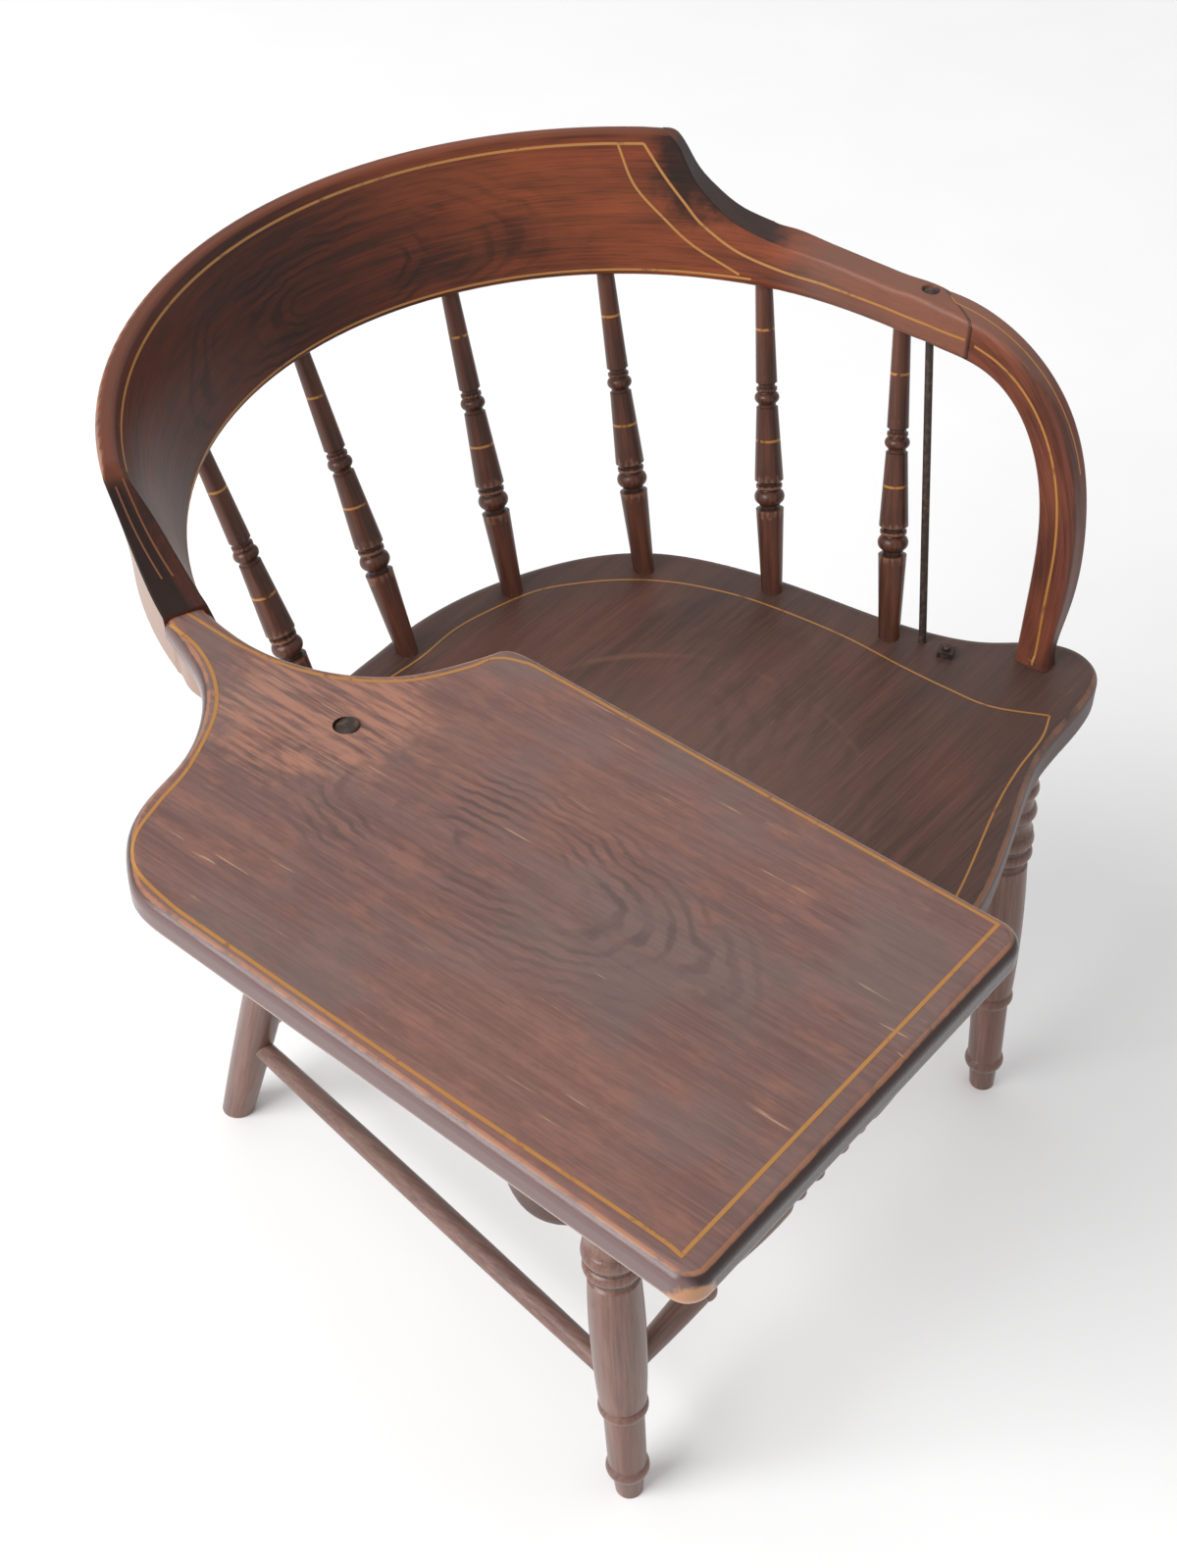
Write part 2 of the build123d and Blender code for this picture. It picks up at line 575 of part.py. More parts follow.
def side_stretcher(front_leg, rear_leg):
    """Left stretcher between the front leg and the rear leg."""
    start, end = side_ends()
    return with_tenons(stick(start, end, SIDE_SHAPE) - front_leg - rear_leg, start, end)


def front_stretcher(front_leg):
    """Turned stretcher between the front legs, alike on both sides of its middle."""
    start, end = cross_ends(FRONT_LEG, FRONT_STRETCHER_HIGH)
    middle = (0, *end[1:])
    stations = [(share * end[0], *rest) for share, *rest in FRONT_HALF_SHAPE]
    half = along(middle, end) * turned(stations) - front_leg
    return with_tenons(half + mirrored(half), start, end)


def rear_stretcher(rear_leg):
    """Plain stretcher between the rear legs."""
    start, end = cross_ends(REAR_LEG, REAR_STRETCHER_HIGH)
    body = stick(start, end, REAR_SHAPE) - both_sides(rear_leg)
    return with_tenons(body, start, end)


# ---------------------------------------------------------------- iron fittings
ROD_RADIUS = 3.0
ROD_FOOT = on_seat(0.789, 0.631, SEAT_TOP)
ROD_HEAD = (ARM_MID_X + 3.0, RING_Y - 26.0, ARM_TOP)
ROD_END = SEAT_UNDER - 7.0      # lower end of the rods
HEAD_RADIUS = 6.2               # domed head on the left arm
HEAD_DEEP = 3.0
HEAD_SINK = 2.0                 # depth of the spot face under it
FLUSH_RADIUS = 7.5              # flat head let into the tablet
FLUSH_DEEP = 3.0
WASHER_RADIUS = 7.5
WASHER_THICK = 1.6
NUT_SIDE = 10.0
NUT_THICK = 5.0
POCKET_SIDE = 0.8               # room around the washer in its pocket under the seat
POCKET_SINK = 2.6               # depth of the pocket along the rod
SEAT_BOLT = on_seat(0.783, 0.675, 0.0)
SEAT_BOLT_HEAD = 5.0
SEAT_BOLT_HEAD_DEEP = 2.2
SEAT_BOLT_PROUD = 3.0           # end of the bolt above its nut
SEAT_NUT_SIDE = 12.0
SCREW_RADIUS = 2.2
SCREW_HEAD = 4.5
SCREW_HEAD_DEEP = 2.5
SCREW_SINK = 4.0                # depth of the screw heads in the arm
SCREW_BITE = 6.5                # how far the screws reach into the tablet
SCREW_PLACES = [ring_point(-83.0, ARM_MID_X)[:2], (-ARM_MID_X, RING_Y - 67.0)]


def rod_at(height):
    """Point on the axis of the left tie rod."""
    return point_on(ROD_FOOT, ROD_HEAD, height)


def rod_stem(head_base):
    """Shank of the left rod from its lower end to the underside of its head."""
    return rod_between(rod_at(ROD_END), past(rod_at(ROD_END), head_base, HEAD_DEEP / 2), ROD_RADIUS)


def domed_head_base():
    """Point where the domed head sits on its spot face."""
    return past(ROD_FOOT, ROD_HEAD, -HEAD_SINK)


def flush_head_base():
    """Point where the flat head sits at the bottom of its recess in the tablet."""
    return past(ROD_FOOT, rod_at(TABLET_TOP), -FLUSH_DEEP)


def tie_rod_left():
    """Rod with a domed head on top of the left arm."""
    base = past(ROD_FOOT, domed_head_base(), FACE_GAP)
    dome = turned([(0.0, HEAD_RADIUS), (0.8, HEAD_RADIUS), (HEAD_DEEP, HEAD_RADIUS / 3, 0.9)])
    return rod_stem(base) + along(base, ROD_HEAD) * dome


def tie_rod_right():
    """Rod with a flat head let into the tablet, still on the left side of the chair."""
    base = past(ROD_FOOT, flush_head_base(), FACE_GAP)
    disc = turned([(0.0, FLUSH_RADIUS), (FLUSH_DEEP - 0.6, FLUSH_RADIUS), (FLUSH_DEEP, FLUSH_RADIUS - 0.6)])
    return rod_stem(base) + along(base, rod_at(FAR * 2)) * disc


def rod_hole():
    """Tool for the hole of the left rod through seat, arm and tablet."""
    return rod_between(rod_at(0), rod_at(CREST_TOP), ROD_RADIUS + FIT)


def rod_hole_with_recess(base, radius):
    """Tool for the left rod's hole, widened to a round flat above base."""
    return rod_hole() + rod_between(base, past(ROD_FOOT, base, 4 * RUN_ON), radius)


def pocket_floor():
    """Point on the rod where its washer bears in the pocket under the seat."""
    return past(ROD_HEAD, rod_at(SEAT_UNDER), -POCKET_SINK)


def rod_hole_with_pocket():
    """Tool for the left rod's hole, widened under the seat for its washer and nut."""
    floor = pocket_floor()
    return rod_hole() + rod_between(floor, past(ROD_HEAD, floor, 4 * RUN_ON), WASHER_RADIUS + POCKET_SIDE)


def drilled(body, radius):
    """Body standing on the XY plane with a running fit hole up through it."""
    return body - Cylinder(radius + FIT, 4 * RUN_ON)


def rod_washer():
    """Washer under the left rod's nut."""
    top = past(ROD_HEAD, pocket_floor(), FACE_GAP)
    low = (Align.CENTER, Align.CENTER, Align.MIN)
    return along(top, rod_at(0)) * drilled(Cylinder(WASHER_RADIUS, WASHER_THICK, align=low), ROD_RADIUS)


def rod_nut():
    """Square nut on the lower end of the left rod."""
    top = past(ROD_HEAD, pocket_floor(), WASHER_THICK + 2 * FACE_GAP)
    low = (Align.CENTER, Align.CENTER, Align.MIN)
    return along(top, rod_at(0)) * drilled(Box(NUT_SIDE, NUT_SIDE, NUT_THICK, align=low), ROD_RADIUS)


def seat_bolt():
    """Bolt up through the seat, its low round head on the underside."""
    head_top = SEAT_UNDER - FACE_GAP
    end = SEAT_TOP + NUT_THICK + SEAT_BOLT_PROUD
    return Pos(*SEAT_BOLT) * turned([
        (head_top - SEAT_BOLT_HEAD_DEEP, SEAT_BOLT_HEAD / 2),
        (head_top, SEAT_BOLT_HEAD, 0.8),
        (head_top, ROD_RADIUS),
        (end - 1, ROD_RADIUS),
        (end, ROD_RADIUS - 1),
    ])


def seat_bolt_hole():
    """Tool for the hole of the seat bolt."""
    return Pos(*SEAT_BOLT) * Cylinder(ROD_RADIUS + FIT, 4 * FAR)


def seat_bolt_nut():
    """Square nut on top of the seat, turned a little out of line with the chair."""
    low = (Align.CENTER, Align.CENTER, Align.MIN)
    nut = drilled(Box(SEAT_NUT_SIDE, SEAT_NUT_SIDE, NUT_THICK, align=low), ROD_RADIUS)
    return Pos(*SEAT_BOLT[:2], SEAT_TOP + FACE_GAP) * Rot(0, 0, 20) * nut


def tablet_screw(place):
    """Screw up through the arm into the tablet."""
    head_top = RAIL_UNDER + SCREW_SINK - FACE_GAP
    point = LAP_TOP + SCREW_BITE
    return Pos(*place, 0) * turned([
        (head_top - SCREW_HEAD_DEEP, SCREW_HEAD - 1),
        (head_top, SCREW_HEAD, 0.4),
        (head_top, SCREW_RADIUS),
        (point - SCREW_RADIUS, SCREW_RADIUS),
        (point, SCREW_RADIUS / 4),
    ])


def screw_holes():
    """Tools for the counterbored holes of the tablet's screws."""
    counterbore = rod_between((0, 0, RAIL_UNDER - 4 * RUN_ON), (0, 0, RAIL_UNDER + SCREW_SINK), SCREW_HEAD + FIT)
    shank = rod_between((0, 0, RAIL_UNDER), (0, 0, LAP_TOP + SCREW_BITE + END_GAP), SCREW_RADIUS + FIT)
    return [Pos(*place, 0) * (counterbore + shank) for place in SCREW_PLACES]


# ---------------------------------------------------------------- the whole chair
def finished_seat(seat_bores):
    """Seat plank with every hole and pocket."""
    tools = seat_bores + leg_bores() + both_sides(rod_hole_with_pocket())
    tools += both_sides(bore(*post_tenon_line(), POST_RADIUS, POST_DEEP))
    return cut(seat_blank(), [*tools, seat_bolt_hole()])


def finished_rail(rail, rail_bores):
    """Back rail with its holes, planed down on the right for the tablet."""
    left_hole = rod_hole_with_recess(domed_head_base(), HEAD_RADIUS + 2 * FIT)
    tools = [*rail_bores, left_hole, mirrored(rod_hole()), *screw_holes()]
    return cut(rail - lap_cutter(), tools)


def finished_tablet():
    """Writing tablet with the holes of its rod and screws."""
    flush_hole = rod_hole_with_recess(flush_head_base(), FLUSH_RADIUS + FIT)
    return cut(tablet_blank(), [mirrored(flush_hole), *screw_holes()])


def wooden_pieces():
    """Every wooden piece by name."""
    arm_run = left_arm_run()
    rail = back_rail_blank(arm_run)
    bow = arm_bow(arm_run)
    front_leg = leg_blank(FRONT_LEG, FRONT_LEG_SHAPE)
    rear_leg = leg_blank(REAR_LEG, REAR_LEG_SHAPE)
    seat_bores, rail_bores = spindle_bores()
    front_leg_bores = stretcher_bores(*cross_ends(FRONT_LEG, FRONT_STRETCHER_HIGH)) + stretcher_bores(*side_ends())
    rear_leg_bores = stretcher_bores(*cross_ends(REAR_LEG, REAR_STRETCHER_HIGH)) + stretcher_bores(*side_ends())
    pieces = {
        "seat": finished_seat(seat_bores),
        "back_rail": finished_rail(rail, rail_bores),
        "arm_bow_left": bow,
        "arm_bow_right": cut(mirrored(bow), [lap_cutter(), *screw_holes()]),
        "writing_tablet": finished_tablet(),
        "spindle_back_centre": spindle(0, rail),
        "stretcher_front": front_stretcher(front_leg),
        "stretcher_rear": rear_stretcher(rear_leg),
    }
    alike = {
        "leg_front": cut(front_leg, front_leg_bores),
        "leg_rear": cut(rear_leg, rear_leg_bores),
        "stretcher": side_stretcher(front_leg, rear_leg),
    }
    for name, piece in alike.items():
        pieces[f"{name}_left"], pieces[f"{name}_right"] = both_sides(piece)
    for number in range(1, len(SPINDLE_FEET)):
        pair = both_sides(spindle(number, rail))
        pieces[f"spindle_left_{number}"], pieces[f"spindle_right_{number}"] = pair
    return pieces


def iron_pieces():
    """Every iron piece by name, identical ones as a group."""
    return {
        "tie_rod_left": tie_rod_left(),
        "tie_rod_right": mirrored(tie_rod_right()),
        "rod_washers": Compound(children=both_sides(rod_washer())),
        "rod_nuts": Compound(children=both_sides(rod_nut())),
        "seat_bolt": seat_bolt(),
        "seat_bolt_nut": seat_bolt_nut(),
        "tablet_screws": Compound(children=[tablet_screw(place) for place in SCREW_PLACES]),
    }


def main():
    """Build all pieces, put the origin under the middle of the chair and write them."""
    pieces = wooden_pieces() | iron_pieces()
    boxes = [piece.bounding_box() for piece in pieces.values()]
    middle_x = (min(box.min.X for box in boxes) + max(box.max.X for box in boxes)) / 2
    middle_y = (min(box.min.Y for box in boxes) + max(box.max.Y for box in boxes)) / 2
    os.makedirs("parts", exist_ok=True)
    for name, piece in pieces.items():
        export_step(Pos(-middle_x, -middle_y, 0) * piece, f"parts/{name}.step")


main()
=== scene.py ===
"""Looks of the writing-arm Windsor chair: grained rosewood paint with worn edges,
mustard pinstripes and old iron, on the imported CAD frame. Metres, in the row frame."""
from math import cos, pi, radians, sin

import bpy
from mathutils import Matrix, Vector
from mathutils.bvhtree import BVHTree

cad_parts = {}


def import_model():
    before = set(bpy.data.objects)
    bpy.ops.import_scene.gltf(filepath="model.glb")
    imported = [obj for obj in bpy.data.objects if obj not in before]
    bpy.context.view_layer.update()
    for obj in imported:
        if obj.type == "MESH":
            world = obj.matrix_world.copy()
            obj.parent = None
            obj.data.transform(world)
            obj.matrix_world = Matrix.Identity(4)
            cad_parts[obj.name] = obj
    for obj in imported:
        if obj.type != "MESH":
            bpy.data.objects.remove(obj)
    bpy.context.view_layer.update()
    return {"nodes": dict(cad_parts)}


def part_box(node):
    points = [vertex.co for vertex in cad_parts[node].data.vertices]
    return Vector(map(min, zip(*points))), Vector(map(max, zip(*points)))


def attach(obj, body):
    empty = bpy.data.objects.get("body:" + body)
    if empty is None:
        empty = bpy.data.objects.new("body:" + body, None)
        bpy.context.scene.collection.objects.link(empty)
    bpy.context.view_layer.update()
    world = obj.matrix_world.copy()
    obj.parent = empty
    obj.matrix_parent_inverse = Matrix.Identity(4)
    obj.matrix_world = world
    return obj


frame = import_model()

# ---------------------------------------------------------------- places from the frame
SEAT_LOW, SEAT_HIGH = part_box("seat")
RAIL_LOW, RAIL_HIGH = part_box("back_rail")
TABLET_LOW, TABLET_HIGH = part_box("writing_tablet")
CHAIR_X = (SEAT_LOW.x + SEAT_HIGH.x) / 2        # middle plane of the chair
SEAT_TOP = SEAT_HIGH.z
TABLET_TOP = TABLET_HIGH.z
RAIL_UNDER = RAIL_LOW.z
CREST_TOP = RAIL_HIGH.z
RAIL_REACH = 0.3425                             # outer radius of the rail at its top
RAIL_IN = 0.294                                 # inner radius of the rail at its underside
CREST_LEAN = 0.036                              # lean of its inner face up to the top
SLOPE_DRIFT = 0.36                              # lean of the middle of its sloping ends
SLOPE_IN = 0.0065                               # from RAIL_REACH in to that middle, at the top
RING_Y = RAIL_HIGH.y - RAIL_REACH               # centre of the half-round of the rail
BOW_Y = RING_Y - 0.037                          # middle of the bows' oval
BOW_Z = SEAT_TOP + 0.067
BOW_REACH = 0.128
BOW_RISE = 0.1835
BOW_FULL = 0.79                                 # 1 is an ellipse, less is a fuller oval
ARM_MIDDLE = 0.305                              # centre line of the arms, from CHAIR_X
ARM_HALF = 0.01325
SCARF_AHEAD = (0.029, 0.070)                    # scarf's outer and inner end ahead of RING_Y
ROOT = "root"                                   # the one body of the chair


def chair(x, y, z=0.0):
    """Point given from the middle plane and the rail's centre line, in millimetres."""
    return Vector((CHAIR_X + x / 1000, RING_Y + (y + 58) / 1000, z / 1000))


def ring(angle, radius, height):
    """Point round the back rail; 0 is the middle of the back, +90 the left arm."""
    turn = radians(angle)
    return Vector((CHAIR_X + radius * sin(turn), RING_Y + radius * cos(turn), height))


def crest_face(angle, millimetres):
    """Point on the leaning inner face of the rail at one height."""
    height = millimetres / 1000
    share = (height - RAIL_UNDER) / (CREST_TOP - RAIL_UNDER)
    return ring(angle, RAIL_IN + CREST_LEAN * (share + share ** 2) / 2, height)


def bow_point(turn, across, out):
    """Point by the left bow's oval: turn 0 at its start, across from its middle plane
    and out from its centre line."""
    ahead, down = sin(radians(turn)) ** BOW_FULL, cos(radians(turn)) ** BOW_FULL
    y = BOW_Y - (BOW_REACH + out) * ahead
    z = BOW_Z + (BOW_RISE + out) * down
    return Vector((CHAIR_X + ARM_MIDDLE + across, y, z))


def mirrored(points):
    """The same points on the other side of the chair's middle plane."""
    return [Vector((2 * CHAIR_X - point.x, point.y, point.z)) for point in points]


def mesh_object(name, verts, faces, material):
    """New object with one material, in the scene."""
    mesh = bpy.data.meshes.new(name)
    mesh.from_pydata(verts, [], faces)
    mesh.materials.append(material)
    made = bpy.data.objects.new(name, mesh)
    bpy.context.scene.collection.objects.link(made)
    return made


# ---------------------------------------------------------------- shader building
class Shader:
    """A material's node tree with short calls for the nodes used here."""

    def __init__(self, name):
        self.material = bpy.data.materials.new(name)
        self.material.use_nodes = True
        self.tree = self.material.node_tree
        self.bsdf = self.tree.nodes["Principled BSDF"]
        self.place = self.node("TexCoord").outputs["Object"]
        self.geometry = self.node("NewGeometry")

    def node(self, kind, **settings):
        made = self.tree.nodes.new("ShaderNode" + kind)
        for key, value in settings.items():
            setattr(made, key, value)
        return made

    def put(self, value, socket):
        if isinstance(value, bpy.types.NodeSocket):
            self.tree.links.new(value, socket)
        else:
            socket.default_value = value

    def math(self, operation, a, b=0.0):
        made = self.node("Math", operation=operation)
        self.put(a, made.inputs[0])
        self.put(b, made.inputs[1])
        return made.outputs[0]

    def add(self, a, b):
        return self.math("ADD", a, b)

    def times(self, a, b):
        return self.math("MULTIPLY", a, b)

    def both(self, *masks):
        """Product of several masks."""
        result = masks[0]
        for mask in masks[1:]:
            result = self.times(result, mask)
        return result

    def vector(self, operation, a, b=(0, 0, 0)):
        made = self.node("VectorMath", operation=operation)
        self.put(a, made.inputs[0])
        self.put(b, made.inputs[1])
        is_number = operation in ("DOT_PRODUCT", "DISTANCE")
        return made.outputs["Value" if is_number else "Vector"]

    def step(self, value, low, high):
        """0 at low and 1 at high, smooth between; a low above high turns it round."""
        falling = low > high
        made = self.node("MapRange", interpolation_type="SMOOTHSTEP")
        self.put(value, made.inputs["Value"])
        self.put(min(low, high), made.inputs["From Min"])
        self.put(max(low, high), made.inputs["From Max"])
        self.put(1.0 if falling else 0.0, made.inputs["To Min"])
        self.put(0.0 if falling else 1.0, made.inputs["To Max"])
        return made.outputs["Result"]

    def band(self, value, middle, half, soft):
        """1 within half of the middle, falling to 0 over soft."""
        away = self.math("ABSOLUTE", self.math("SUBTRACT", value, middle))
        return self.step(away, half + soft, half)

    def mix(self, share, a, b):
        made = self.node("Mix", data_type="RGBA")
        self.put(share, made.inputs["Factor"])
        self.put((*a, 1) if isinstance(a, tuple) else a, made.inputs["A"])
        self.put((*b, 1) if isinstance(b, tuple) else b, made.inputs["B"])
        return made.outputs["Result"]

    def over(self, below, paint, mask, share=1.0):
        """Paint laid over the colour below by a share, where the mask is 1."""
        return self.mix(self.times(mask, share), below, paint)

    def noise(self, where, scale, detail=3.0, roughness=0.5, distortion=0.0):
        """Cloudy noise, scale is in clouds per metre."""
        made = self.node("TexNoise")
        self.put(where, made.inputs["Vector"])
        made.inputs["Scale"].default_value = scale
        made.inputs["Detail"].default_value = detail
        made.inputs["Roughness"].default_value = roughness
        made.inputs["Distortion"].default_value = distortion
        return made.outputs["Fac"]

    def streaks(self, along, scale, stretch, detail=4.0, distortion=0.0):
        """Noise drawn out along the first axis of along."""
        drawn_out = self.vector("MULTIPLY", along, (stretch, 1, 1))
        return self.noise(drawn_out, scale, detail, 0.6, distortion)

    def normal(self):
        """The surface's direction as x, y and z; z is 1 on a level top."""
        return self.split(self.geometry.outputs["Normal"])

    def split(self, where):
        made = self.node("SeparateXYZ")
        self.put(where, made.inputs[0])
        return made.outputs

    def join(self, x, y, z):
        made = self.node("CombineXYZ")
        for value, socket in zip((x, y, z), made.inputs):
            self.put(value, socket)
        return made.outputs[0]

    def near(self, point, reach):
        """1 at the point, falling to 0 at reach from it."""
        away = self.vector("DISTANCE", self.place, tuple(point))
        return self.step(away, reach, reach * 0.2)

    def broken(self, mask, scale, low=0.35, high=0.6):
        """A mask eaten into by noise, so that its border is ragged."""
        speck = self.noise(self.place, scale, 5, 0.65)
        return self.step(self.add(mask, self.add(speck, -0.5)), low, high)

    def finish(self, colour, roughness, height, depth=0.0002, soft_edge=0.0):
        """Connect the shader; soft_edge rounds sharp edges of the shape in shading."""
        self.put(colour, self.bsdf.inputs["Base Color"])
        self.put(roughness, self.bsdf.inputs["Roughness"])
        bump = self.node("Bump")
        bump.inputs["Distance"].default_value = depth
        self.put(height, bump.inputs["Height"])
        if soft_edge:
            bevel = self.node("Bevel", samples=4)
            bevel.inputs["Radius"].default_value = soft_edge
            self.put(bevel.outputs[0], bump.inputs["Normal"])
        self.put(bump.outputs[0], self.bsdf.inputs["Normal"])
        return self.material


# ---------------------------------------------------------------- colours, linear
NEAR_BLACK = (0.009, 0.005, 0.004)
BLACK_BROWN = (0.026, 0.0105, 0.007)
WARM_RED = (0.19, 0.055, 0.025)
DULL_BROWN = (0.17, 0.1, 0.078)
RUBBED = (0.32, 0.155, 0.095)
BARE_WOOD = (0.5, 0.31, 0.18)
ORANGE_WEAR = (0.36, 0.15, 0.07)
# light colour painted as window light on faces of the rail that turn towards the window
PAINTED_WINDOW_PALE = (0.36, 0.25, 0.2)
MUSTARD = (0.35, 0.155, 0.034)
OLD_STRIPE = (0.16, 0.06, 0.025)
RED_STRIPE = (0.15, 0.05, 0.017)
SEAT_DARK = (0.05, 0.024, 0.018)
SEAT_LIGHT = (0.115, 0.05, 0.036)
SEAT_BORDER = (0.055, 0.034, 0.03)
TABLET_DARK = (0.115, 0.058, 0.05)
TABLET_LIGHT = (0.19, 0.1, 0.085)
TABLET_RUST = (0.27, 0.115, 0.078)
TABLET_GREY = (0.13, 0.1, 0.094)
TABLET_FIGURE = (0.055, 0.037, 0.036)
TABLET_RUBBED = (0.44, 0.2, 0.125)
TABLET_SIDE = (0.026, 0.0125, 0.011)
# colour of a painted sheen on the tablet's outer side, where it faces the window
TABLET_SIDE_SHEEN = (0.15, 0.092, 0.088)
TABLET_CORNER = (0.36, 0.17, 0.08)
# the left end's colours are lighter and redder as painted window light
CREST_LIGHT_WITH_LIT_END = ((0.085, 0.018, 0.008), (0.16, 0.033, 0.012))     # middle and left end
CREST_WARM_WITH_LIT_END = ((0.12, 0.026, 0.011), (0.29, 0.07, 0.024))
BOW_LIGHT = (0.13, 0.038, 0.024)
BOW_WARM = (0.27, 0.08, 0.04)
SPINDLE_DARK = (0.028, 0.011, 0.007)
SPINDLE_LIGHT = (0.095, 0.033, 0.02)
LEG_DARK = (0.1, 0.056, 0.046)
LEG_LIGHT = (0.2, 0.115, 0.093)
IRON_DARK = (0.03, 0.02, 0.016)
IRON_RUST = (0.085, 0.045, 0.032)
FLOOR_GREY = (0.85, 0.85, 0.85)
FLOOR_WHITE = (0.89, 0.89, 0.89)


# ---------------------------------------------------------------- parts of a finish
def grained(shader, along, dark, light, warm, warm_share):
    """Streaked paint with fine dark pores: gives its colour and its height."""
    broad = shader.streaks(along, 90, 0.06, 5, 0.7)
    fine = shader.streaks(along, 560, 0.03, 3)
    tone = shader.add(shader.times(broad, 0.55), shader.times(fine, 0.45))
    colour = shader.mix(shader.step(tone, 0.34, 0.68), dark, light)
    cloud = shader.streaks(along, 9, 0.45, 3)
    colour = shader.over(colour, warm, shader.step(cloud, 0.42, 0.68), warm_share)
    pores = shader.streaks(along, 900, 0.035, 2)
    return shader.over(colour, dark, shader.step(pores, 0.56, 0.68), 0.35), fine


def figure(shader, along, across, middle, spacing, reach, stretch=7.0):
    """Nested long ovals of darker grain round a middle given as (along, across)."""
    a = shader.add(along, -middle[0])
    c = shader.add(across, -middle[1])
    round_middle = shader.add(shader.times(shader.times(a, a), 1 / stretch), shader.times(c, c))
    away = shader.math("SQRT", round_middle)
    wander = shader.times(shader.noise(shader.place, 26, 4), 2.6 * spacing)
    turns = shader.times(shader.add(away, wander), 2 * pi / spacing)
    lines = shader.step(shader.math("SINE", turns), -0.2, 0.9)
    patchy = shader.step(shader.noise(shader.place, 17, 3), 0.38, 0.6)
    return shader.both(lines, patchy, shader.step(away, reach, reach * 0.3))


def gloss(shader, fine, base=0.34, spread=0.25, coat=0.06, specular=0.22):
    """Roughness that follows the grain, under a thin old varnish."""
    shader.bsdf.inputs["Specular IOR Level"].default_value = specular
    shader.bsdf.inputs["Coat Weight"].default_value = coat
    shader.bsdf.inputs["Coat Roughness"].default_value = 0.22
    return shader.add(shader.times(fine, spread), base)


def scratches(shader, along, amount):
    """Few thin light scratches that run roughly with the grain."""
    where = shader.vector("ADD", along, shader.vector("MULTIPLY", along, (0, 0.12, 0)))
    thin = shader.streaks(where, 330, 0.05, 1, 0.3)
    spots = shader.noise(shader.place, 24, 3, 0.6)
    return shader.both(shader.step(thin, 0.72, 0.745), shader.step(spots, 0.52 - amount, 0.64))


def scarf_line(shader):
    """Thin line where each bow's scarf meets the arm, as a mask for both pieces."""
    x, y, _ = shader.split(shader.place)
    aside = shader.math("ABSOLUTE", shader.add(x, -CHAIR_X))
    run = Vector((-2 * ARM_HALF, SCARF_AHEAD[0] - SCARF_AHEAD[1], 0))
    normal = Vector((run.y, -run.x, 0)).normalized()
    start = Vector((ARM_MIDDLE + ARM_HALF, RING_Y - SCARF_AHEAD[0], 0))
    away = shader.vector("DOT_PRODUCT", shader.join(aside, y, 0.0), tuple(normal))
    return shader.band(away, start.dot(normal), 0.0002, 0.0004)


# ---------------------------------------------------------------- wooden finishes
HOLLOW = chair(0, -85)              # middle of the seat's dish
HOLLOW_RIM = 0.15                   # radius of the faint ring round it
SEAT_FIGURE_MIDDLE = (CHAIR_X - 0.04, HOLLOW.y + 0.03)


def seat_material():
    """Plank seat: dull in the hollow, orange wear on the front edge, faint ring."""
    shader = Shader("seat_paint")
    x, y, _ = shader.split(shader.place)
    colour, fine = grained(shader, shader.place, SEAT_DARK, SEAT_LIGHT, WARM_RED, 0.22)
    away = shader.vector("DISTANCE", shader.join(x, y, 0.0), tuple(HOLLOW))
    colour = shader.over(colour, DULL_BROWN, shader.step(away, HOLLOW_RIM + 0.05, 0.05), 0.5)
    ovals = figure(shader, x, y, SEAT_FIGURE_MIDDLE, 0.013, 0.2)
    colour = shader.over(colour, BLACK_BROWN, ovals, 0.15)
    patchy = shader.step(shader.noise(shader.place, 14, 3), 0.42, 0.6)
    rim = shader.both(shader.band(away, HOLLOW_RIM, 0.0005, 0.004), patchy)
    colour = shader.over(colour, RUBBED, rim, 0.2)
    tilt = shader.normal()[2]
    rounding = shader.both(shader.step(tilt, 0.97, 0.8), shader.step(tilt, 0.25, 0.5))
    front = shader.step(y, SEAT_LOW.y + 0.16, SEAT_LOW.y + 0.02)
    worn = shader.broken(shader.both(rounding, front), 55, 0.65, 0.95)
    colour = shader.over(colour, ORANGE_WEAR, worn, 0.7)
    border = shader.step(away, HOLLOW_RIM + 0.05, HOLLOW_RIM + 0.11)
    colour = shader.over(colour, SEAT_BORDER, border, 0.4)
    colour = shader.over(colour, RUBBED, scratches(shader, shader.place, 0.04), 0.3)
    return shader.finish(colour, gloss(shader, fine, 0.36, specular=0.35), fine)


TABLET_FIGURE_MIDDLE = chair(-336, -203)
NECK = chair(-305, -60, TABLET_TOP * 1000)
OUTER_CORNER = chair(-489, -462, (TABLET_TOP - 0.02) * 1000)


def tablet_grain(shader, along):
    """Mottled grain of the tablet with its oval figure; gives colour and height."""
    y, x, _ = shader.split(along)
    colour, fine = grained(shader, along, TABLET_DARK, TABLET_LIGHT, TABLET_RUST, 0.25)
    flecks = shader.streaks(along, 520, 0.3, 2)
    colour = shader.over(colour, TABLET_DARK, shader.step(flecks, 0.5, 0.66), 0.3)
    rust = shader.streaks(along, 110, 0.35, 5)
    colour = shader.over(colour, TABLET_RUST, shader.step(rust, 0.48, 0.68), 0.4)
    greyed = shader.step(shader.noise(shader.place, 11, 4), 0.46, 0.64)
    colour = shader.over(colour, TABLET_GREY, greyed, 0.45)
    middle = (TABLET_FIGURE_MIDDLE.y, TABLET_FIGURE_MIDDLE.x)
    ovals = figure(shader, y, x, middle, 0.0068, 0.088)
    return shader.over(colour, TABLET_FIGURE, ovals, 0.65), fine


